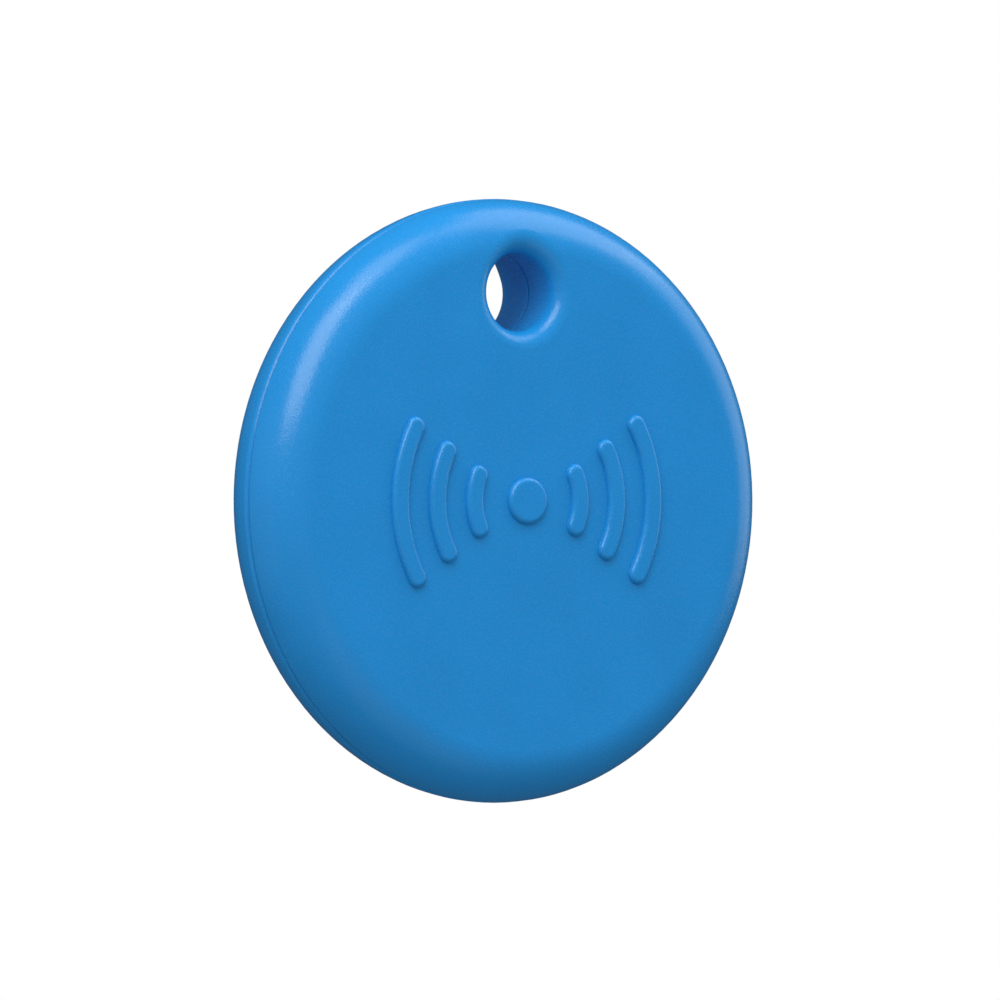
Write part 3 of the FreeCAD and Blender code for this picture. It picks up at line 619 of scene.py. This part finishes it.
def add_end_caps(node, along_z):
    """Tinned ends wrapped round a block, with a little solder at the foot of each."""
    (left, right), (front, rear), (below, above) = extent(node)
    middle_x, middle_z = middle_of(node)
    skin, reach = 0.03, 0.45
    solder_out, solder_half, solder_height, solder_draft = 0.12, 0.6, 0.3, 0.15

    def build(form):
        for side in (-1, 1):
            if along_z:
                edge = above if side > 0 else below
                low, high = sorted((edge - side * reach, edge + side * skin))
                cap = rectangle(left - skin, right + skin, low, high)
                z = edge + side * solder_out
                solder = rectangle(middle_x - solder_half, middle_x + solder_half,
                                   z - 0.1, z + 0.2)
            else:
                edge = right if side > 0 else left
                low, high = sorted((edge - side * reach, edge + side * skin))
                cap = rectangle(low, high, below - skin, above + skin)
                x = edge + side * solder_out
                solder = rectangle(x - 0.2, x + 0.2,
                                   middle_z - solder_half, middle_z + solder_half)
            slab(form, cap, rear, front - skin)
            slab(form, solder, rear, rear - solder_height, solder_draft)

    add_piece(node + "_ends", build, "core", "tin_plate", 0.03)


def add_crystal_lid(node):
    """A welded metal lid on a crystal: a flat rim with a raised, rounded top."""
    (left, right), (front, _), (below, above) = extent(node)
    corner = 0.25
    rim_inset, rim_height = 0.02, 0.04
    top_inset, top_height, top_draft = 0.2, 0.14, 0.05

    def outline(inset):
        west, east = left + inset + corner, right - inset - corner
        south, north = below + inset + corner, above - inset - corner
        points = []
        for x, z, start in ((east, north, 0), (west, north, 90),
                            (west, south, 180), (east, south, 270)):
            points += arc(x, z, corner, start, start + 90, 5)
        return points

    def build(form):
        slab(form, outline(rim_inset), front, front - rim_height)
        slab(form, outline(top_inset), front - rim_height, front - top_height, top_draft)

    add_piece(node + "_lid", build, "core", "tin_plate", 0.02)


def add_winding():
    """Enamelled copper wire wound round the inductor."""
    (left, right), (front, rear), _ = extent("boost_inductor")
    x, z = middle_of("boost_inductor")
    wire = 0.09
    reach = (right - left) / 2 + wire
    corner_reach = 1.16 * reach
    turns, steps = 5, 40
    foot_gap, both_gaps = 0.28, 0.5

    def build(form):
        points = []
        for step in range(turns * steps + 1):
            share = step / (turns * steps)
            angle = 2 * math.pi * turns * share
            # a rounded square: the wire lies against the core's four sides
            size = reach / max(abs(math.cos(angle)), abs(math.sin(angle)))
            size = min(size, corner_reach)
            level = rear - foot_gap - (rear - front - both_gaps) * share
            points.append(Vector((x + size * math.cos(angle), level,
                                  z + size * math.sin(angle))))
        tube(form, points, wire)

    add_piece("inductor_winding", build, "core", "ferrite_grey", 0.0, COPPER_WIRE)


def add_switch_tabs():
    """The folded corners of the switch's cover plate and its four soldered legs."""
    (left, right), _, (below, above) = extent("switch_base")
    cover = extent("switch_cover")[1][0]
    inset = 0.7
    tab_half, tab_thick, tab_top, tab_foot = 0.3, 0.06, cover + 0.02, cover + 0.42
    leg_half, leg_out, leg_height, leg_draft = 0.22, 0.55, 0.1, 0.04

    def build(form):
        for x, side in ((left, -1), (right, 1)):
            for z in (below + inset, above - inset):
                tab = rectangle(x, x + side * tab_thick, z - tab_half, z + tab_half)
                slab(form, tab, tab_top, tab_foot)
                leg = rectangle(x, x + side * leg_out, z - leg_half, z + leg_half)
                slab(form, leg, BOARD_FRONT, BOARD_FRONT - leg_height, leg_draft)

    add_piece("switch_tabs", build, "core", "spring_steel", 0.015)


# ---------------------------------------------------------------- contacts, frame, shells

def add_negative_leaf():
    """A stamped leaf in place of the plain tab: a tongue in a frame rises to the cell."""
    (left, right), (low, high), (below, above) = extent("negative_contact")
    x, _ = middle_of("negative_contact")
    thick = 0.07
    rim = 0.7
    tongue_half, tongue_gap = 0.75, 0.2
    # the share of a half wave that the tongue follows as it rises and turns down at its tip
    wave = 0.72
    rows, columns = 16, 6

    def build(form):
        for bar in (rectangle(left, left + rim, below, above),
                    rectangle(right - rim, right, below, above),
                    rectangle(left, right, below, below + rim),
                    rectangle(left, right, above - rim, above)):
            slab(form, bar, low, low + thick)
        grid = []
        for row in range(rows + 1):
            share = row / rows
            z = below + rim + (above - below - 2 * rim - tongue_gap) * share
            lift = (high - low - thick) * math.sin(share * math.pi * wave)
            line = []
            for column in range(columns + 1):
                across = 2 * column / columns - 1
                line.append(form.verts.new(((x + tongue_half * across) * MM,
                                            (low + lift) * MM, z * MM)))
            grid.append(line)
        tongue = [form.faces.new((one[index], one[index + 1], two[index + 1], two[index]))
                  for one, two in zip(grid, grid[1:]) for index in range(columns)]
        thicker = bmesh.ops.extrude_face_region(form, geom=tongue)
        for vert in thicker["geom"]:
            if isinstance(vert, bmesh.types.BMVert):
                vert.co.y += thick * MM

    leaf = add_piece("negative_leaf", build, "core", "spring_steel", 0.015)
    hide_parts("negative_contact")


def add_contact_solder():
    """Low solder fillets round the feet of the positive contacts."""
    length, width, end_width, height, draft = 1.7, 0.3, 0.25, 0.09, 0.12

    def build(form):
        for node, side in (("positive_contact_right", 1), ("positive_contact_left", -1)):
            (left, right), _, (below, above) = extent(node)
            tip = right if side > 0 else left
            inner, outer = tip - side * length, tip + side * end_width
            for fillet in (rectangle(inner, outer, above, above + width),
                           rectangle(inner, outer, below - width, below),
                           rectangle(tip, tip + side * width, below, above)):
                slab(form, fillet, BOARD_REAR, BOARD_REAR + height, draft)

    add_piece("contact_solder", build, "core", "tin_plate", 0.03)


def add_heat_stakes():
    """Domed heads of the plastic stakes that hold the board against the ring."""
    row_radius = 16.55
    head_radius, tip_radius, dome_height = 0.55, 0.06, 0.3
    foot = BOARD_REAR + 0.4

    def build(form):
        dome = [(head_radius * math.cos(math.radians(turn)),
                 foot + dome_height * math.sin(math.radians(turn)))
                for turn in (0, 15, 30, 45, 60, 75)]
        for angle in (30, 150, 215, 325):
            x, z = on_circle(row_radius, angle)
            lathe(form, x, z, dome + [(tip_radius, foot + dome_height)])

    add_piece("heat_stakes", build, "core", "frame_black")


def add_shell_ribs():
    """Thin ribs moulded inside the rear shell between the cell's well and the rim."""
    shell_wall = 0.8
    floor = extent("rear_shell")[1][1] - shell_wall
    inner_radius, outer_radius = 12.4, 15.6
    half, height, draft = 0.25, 0.7, 0.03

    def build(form):
        for angle in (-160, -135, -90, -45, -20, 20, 160):
            turn = math.radians(angle)
            along = Vector((math.cos(turn), math.sin(turn)))
            side = Vector((-along.y, along.x)) * half
            near, far = along * inner_radius, along * outer_radius
            outline = [tuple(near - side), tuple(far - side), tuple(far + side),
                       tuple(near + side)]
            slab(form, outline, floor, floor - height, draft)

    add_piece("rear_shell_ribs", build, "rear_half", "shell_blue", 0.06)


MASKED_COPPER = moulded("masked_copper", (0.02, 0.19, 0.075), 0.3, 1.5, 0.1, 0.3, 0.003)
INK_WHITE = moulded("ink_white", (0.72, 0.73, 0.7), 0.55, 0.6, 0.08, 0.06, 0.003)
COPPER_WIRE = metal("copper_wire", (0.68, 0.24, 0.09), 0.25, 0.15, 0.003)

for node in ("sounder_spring_outer", "sounder_spring_centre"):
    add_spring(node)
add_tracks("rear", REAR_ROUTES + bus(3.0, 6), BOARD_REAR, 1)
add_tracks("front", FRONT_ROUTES + fan("bluetooth_chip", 1.6, 8, PAD_PITCH)
           + fan("sounder_driver", 1.3, 5, PAD_PITCH) + bus(1.4, 5), BOARD_FRONT, -1)
add_pour_edge()
add_stitching_vias()
add_ink()
for node, count in (("bluetooth_chip", 9), ("sounder_driver", 5), ("motion_sensor", 3)):
    add_package_feet(node, count, PAD_PITCH)
add_end_caps("bulk_capacitor", True)
add_end_caps("chip_antenna", False)
add_crystal_lid("main_crystal")
add_crystal_lid("clock_crystal")
add_winding()
add_switch_tabs()
add_negative_leaf()
add_contact_solder()
add_heat_stakes()
add_shell_ribs()


# ---------------------------------------------------------------- camera, light, floor

# Angles are in degrees. Azimuth goes round to the right of the front, elevation goes up.
RADIUS = (cad_box[1].z - cad_box[0].z) / 2
CAMERA_AZIMUTH = -34.3
CAMERA_ELEVATION = 0.28
CAMERA_ROLL = -0.46
CAMERA_DISTANCE = 37 * RADIUS
CAMERA_LENS = 402
CAMERA_SENSOR = 36
CAMERA_CLIP = (0.01, 20)
AIM_RIGHT = 0.37 * MM
AIM_UP = 0.056 * MM
FLOOR_LEVEL = -60 * MM
FLOOR_HALF = 0.35
FLOOR_GLOW = 0.4
ROOM_LIGHT_BELOW = 0.3
ROOM_LIGHT_ABOVE = 0.66
ROOM_REFLECTION = 0.045
LIGHT_DISTANCE = 0.4
# Each light: its azimuth from the camera's, its elevation, its width and height, its power.
LIGHTS = [
    ("key", -13, 42, (0.23, 0.30), 0.80),
    ("top", 12, 68, (0.2, 0.2), 0.29),
    ("right_rim", 108, 50, (0.3, 0.3), 0.50),
    ("front_fill", 0, 0, (0.7, 0.7), 0.10),
    ("right_low", 40, -35, (0.3, 0.3), 0.05),
    ("right_side", 118, 12, (0.3, 0.3), 0.26),
    ("left_low", -60, 0, (0.4, 0.4), 0.08),
]


def direction(azimuth, elevation):
    """The unit vector that points from the tag towards those angles."""
    a, e = math.radians(azimuth), math.radians(elevation)
    return Vector((math.sin(a) * math.cos(e), -math.cos(a) * math.cos(e), math.sin(e)))


def make_camera():
    """A long lens, a little to the left of the front, level and slightly rolled."""
    turned, roll = math.radians(CAMERA_AZIMUTH), math.radians(CAMERA_ROLL)
    right = Vector((math.cos(turned), math.sin(turned), 0))
    back = direction(CAMERA_AZIMUTH, CAMERA_ELEVATION)
    up = back.cross(right)
    across = right * math.cos(roll) + up * math.sin(roll)
    above = up * math.cos(roll) - right * math.sin(roll)
    data = bpy.data.cameras.new("camera")
    data.lens = CAMERA_LENS
    data.sensor_width = CAMERA_SENSOR
    data.clip_start, data.clip_end = CAMERA_CLIP
    camera = bpy.data.objects.new("camera", data)
    bpy.context.scene.collection.objects.link(camera)
    place = across * AIM_RIGHT + above * AIM_UP + back * CAMERA_DISTANCE
    turn = Matrix((across, above, back)).transposed().to_4x4()
    camera.matrix_world = Matrix.Translation(place) @ turn
    bpy.context.scene.camera = camera


def make_light(name, azimuth, elevation, size, power):
    """A rectangular light that faces the tag from a direction given like the camera's."""
    data = bpy.data.lights.new(name, "AREA")
    data.shape = "RECTANGLE"
    data.size, data.size_y = size
    data.energy = power
    light = bpy.data.objects.new(name, data)
    bpy.context.scene.collection.objects.link(light)
    back = direction(azimuth, elevation)
    light.location = back * LIGHT_DISTANCE
    light.rotation_mode = "QUATERNION"
    light.rotation_quaternion = (-back).to_track_quat("-Z", "Y")
    light.visible_camera = False


def make_world():
    """White to the camera. It lights the tag softly, less from below, and reflects dimly."""
    white = (1, 1, 1, 1)
    world = bpy.data.worlds.new("studio")
    bpy.context.scene.world = world
    world.use_nodes = True
    tree = world.node_tree
    path = tree.nodes.new("ShaderNodeLightPath")
    shown = tree.nodes["Background"]
    place = tree.nodes.new("ShaderNodeTexCoord")
    parts = tree.nodes.new("ShaderNodeSeparateXYZ")
    height = tree.nodes.new("ShaderNodeMapRange")
    height.inputs["From Min"].default_value = -1.0
    height.inputs["To Min"].default_value = ROOM_LIGHT_BELOW
    height.inputs["To Max"].default_value = ROOM_LIGHT_ABOVE
    tree.links.new(place.outputs["Generated"], parts.inputs["Vector"])
    tree.links.new(parts.outputs["Z"], height.inputs["Value"])
    tree.links.new(height.outputs["Result"], shown.inputs["Strength"])
    for ray, strength in (("Is Glossy Ray", ROOM_REFLECTION), ("Is Camera Ray", 1.0)):
        room = tree.nodes.new("ShaderNodeBackground")
        room.inputs["Strength"].default_value = strength
        mix = tree.nodes.new("ShaderNodeMixShader")
        tree.links.new(path.outputs[ray], mix.inputs["Fac"])
        tree.links.new(shown.outputs[0], mix.inputs[1])
        tree.links.new(room.outputs[0], mix.inputs[2])
        shown = mix
    for node in tree.nodes:
        if node.type == "BACKGROUND":
            node.inputs["Color"].default_value = white
    tree.links.new(shown.outputs[0], tree.nodes["World Output"].inputs["Surface"])


def make_floor():
    """A pale floor well below the hanging tag. It takes its shadow and lights nothing."""
    form = bmesh.new()
    bmesh.ops.create_grid(form, x_segments=8, y_segments=8, size=FLOOR_HALF)
    mesh = bpy.data.meshes.new("floor")
    form.to_mesh(mesh)
    form.free()
    shader = Shader("floor_paper", (0.86, 0.86, 0.85), 0.9)
    shader.tint(shader.noise(60 * MM), 0.02)
    shader.bump(shader.noise(1.5 * MM), 0.05 * MM)
    shader.surface.inputs["Emission Color"].default_value = (1, 1, 1, 1)
    shader.surface.inputs["Emission Strength"].default_value = FLOOR_GLOW
    mesh.materials.append(shader.material)
    floor = bpy.data.objects.new("floor", mesh)
    floor.location.z = FLOOR_LEVEL
    floor.visible_diffuse = False
    floor.visible_glossy = False
    floor.visible_shadow = False
    bpy.context.scene.collection.objects.link(floor)


make_camera()
make_world()
make_floor()
bpy.context.scene.view_settings.view_transform = "Standard"
for name, azimuth, elevation, size, power in LIGHTS:
    make_light(name, azimuth + CAMERA_AZIMUTH, elevation, size, power)
